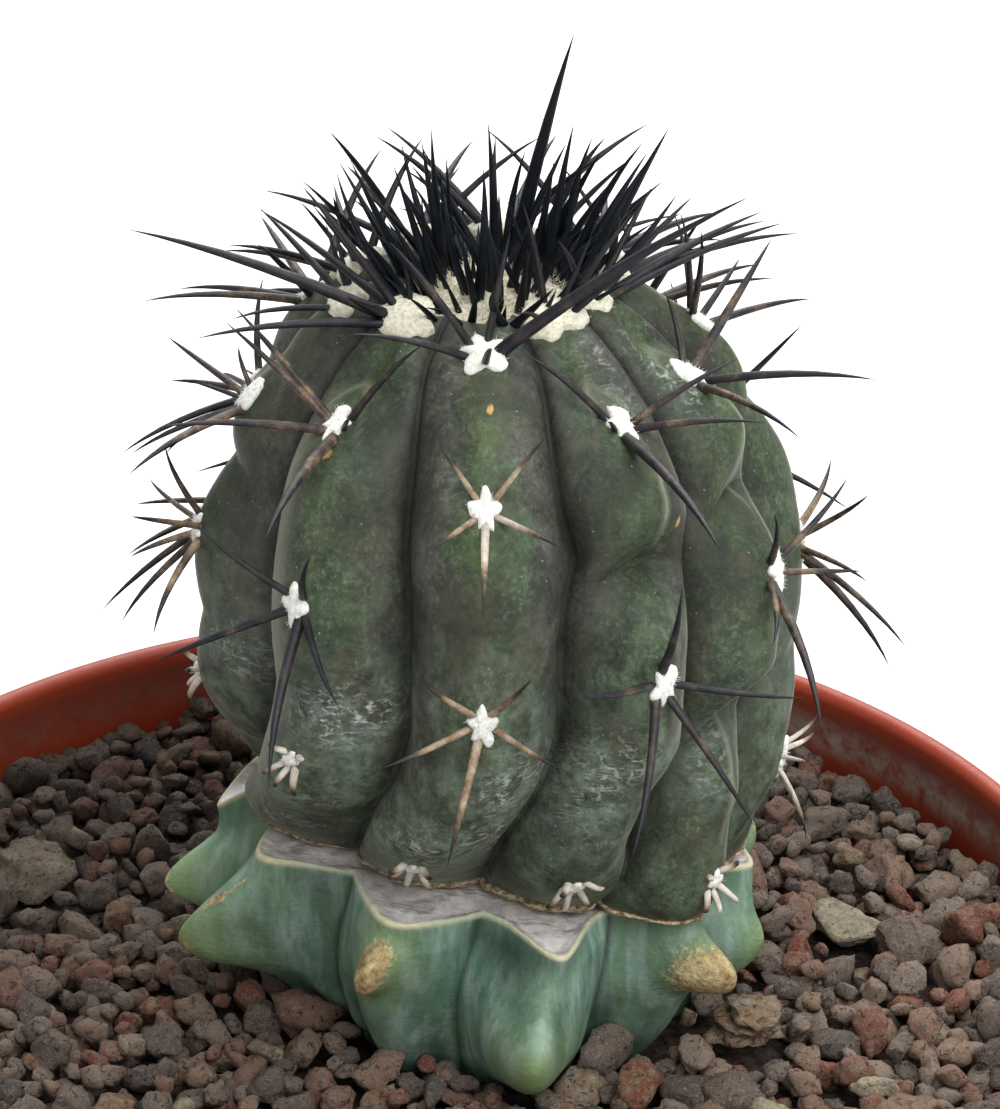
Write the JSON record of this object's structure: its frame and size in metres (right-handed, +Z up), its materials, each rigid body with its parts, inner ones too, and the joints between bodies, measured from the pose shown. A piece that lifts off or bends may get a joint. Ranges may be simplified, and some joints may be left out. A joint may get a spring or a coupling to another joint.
{
  "type": "potted copiapoa",
  "caption": "Ribbed grey-green barrel cactus with black spines, grafted on a blue-green rootstock, in a round plastic pot of lava gravel.",
  "frame": {"origin": "middle of the pot's round base, on the plane of its foot ring", "axes": "+Z up along the pot's axis. -Y is the front, where the picture was taken from. The plant stands to the right of the axis and behind it, towards +X and +Y"},
  "size_m": [0.16, 0.16, 0.219],
  "materials": {
    "pot": "satin",
    "gravel": "matte",
    "rootstock": "satin",
    "scion": "matte",
    "crown": "satin"
  },
  "bodies": {
    "root": {"pot": "pot", "gravel": "gravel", "rootstock": "rootstock", "scion": "scion", "crown": "crown"}
  },
  "joints": []
}
